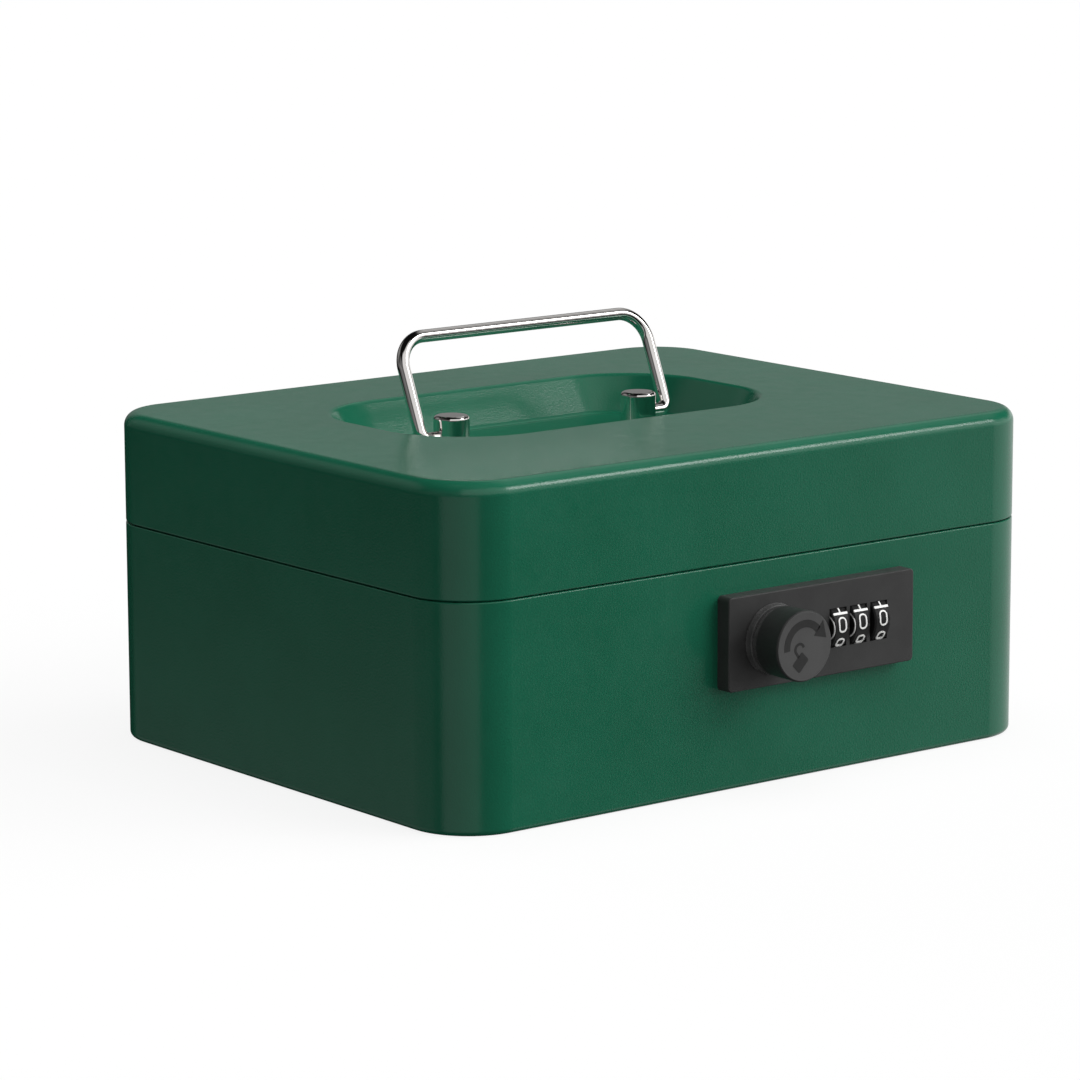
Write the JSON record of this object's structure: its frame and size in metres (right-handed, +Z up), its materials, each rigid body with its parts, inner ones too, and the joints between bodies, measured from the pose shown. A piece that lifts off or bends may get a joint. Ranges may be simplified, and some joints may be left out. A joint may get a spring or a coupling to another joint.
{
  "type": "cash box",
  "caption": "Small rounded steel cash box with a hinged lid, folding wire handle in a pressed well, combination lock with a turning knob, and lift-out coin tray.",
  "frame": {"origin": "centre of the base's underside, on the plane that the box stands on", "axes": "+X to the right along the front, +Y from the front to the hinged back, +Z up"},
  "size_m": [0.2, 0.1816, 0.1121],
  "materials": {
    "green_enamel": "glossy dark green enamel with fine orange peel",
    "bright_chrome": "polished chrome plate",
    "black_lock_plastic": "satin black moulding",
    "knob_plastic": "satin dark grey moulding",
    "wheel_plastic": "semi-gloss black moulding",
    "housing_plastic": "plain black moulding",
    "tray_plastic": "lightly textured black moulding",
    "zinc_steel": "bright zinc plate"
  },
  "bodies": {
    "base": {"base_shell": "green_enamel", "base_rim": "green_enamel", "tray_ledges": "green_enamel", "hinge_base_leaf_left": "green_enamel", "hinge_base_leaf_right": "green_enamel", "hinge_pin_left": "zinc_steel", "hinge_pin_right": "zinc_steel", "lock_plate": "black_lock_plastic", "knob_collar": "black_lock_plastic", "lock_housing": "housing_plastic", "lock_screws": "zinc_steel", "detent_spring": "zinc_steel"},
    "lid": {"lid_shell": "green_enamel", "hinge_lid_leaf_left": "green_enamel", "hinge_lid_leaf_right": "green_enamel", "lid_strike": "zinc_steel", "handle_post_left": "bright_chrome", "handle_post_right": "bright_chrome", "post_washers": "zinc_steel", "post_nuts": "zinc_steel"},
    "handle": {"handle_bail": "bright_chrome"},
    "wheel_1": {"number_wheel_1": "wheel_plastic"},
    "wheel_2": {"number_wheel_2": "wheel_plastic"},
    "wheel_3": {"number_wheel_3": "wheel_plastic"},
    "knob": {"knob": "knob_plastic", "knob_spindle": "zinc_steel", "lock_cam": "zinc_steel", "cam_washer": "zinc_steel", "cam_nut": "zinc_steel"},
    "code_bar": {"code_bar": "zinc_steel"},
    "tray": {"coin_tray": "tray_plastic"}
  },
  "joints": [
    {"name": "lid_hinge", "type": "hinge", "parent": "base", "child": "lid", "pos_m": [0, 0.0806, 0.06], "axis": [-1, 0, 0], "range_deg": [0, 105]},
    {"name": "handle_hinge", "type": "hinge", "parent": "lid", "child": "handle", "pos_m": [0, 0.0101, 0.0843], "axis": [1, 0, 0], "range_deg": [-65, 113]},
    {"name": "knob_turn", "type": "hinge", "parent": "base", "child": "knob", "pos_m": [0, -0.09, 0.0398], "axis": [0, -1, 0], "range_deg": [0, 90]},
    {"name": "code_bar_slide", "type": "slide", "parent": "base", "child": "code_bar", "axis": [1, 0, 0], "range_m": [-0.0063, 0]},
    {"name": "wheel_1_turn", "type": "hinge", "parent": "base", "child": "wheel_1", "pos_m": [0.0226, -0.0794, 0.0398], "axis": [1, 0, 0], "continuous": true},
    {"name": "wheel_2_turn", "type": "hinge", "parent": "base", "child": "wheel_2", "pos_m": [0.0298, -0.0794, 0.0398], "axis": [1, 0, 0], "continuous": true},
    {"name": "wheel_3_turn", "type": "hinge", "parent": "base", "child": "wheel_3", "pos_m": [0.037, -0.0794, 0.0398], "axis": [1, 0, 0], "continuous": true},
    {"name": "tray_lift", "type": "slide", "parent": "base", "child": "tray", "axis": [0, 0, 1], "range_m": [0, 0.012]}
  ],
  "couplings": [
    {"joint": "code_bar_slide", "follows": "knob_turn", "m_per_rad": -0.004}
  ]
}
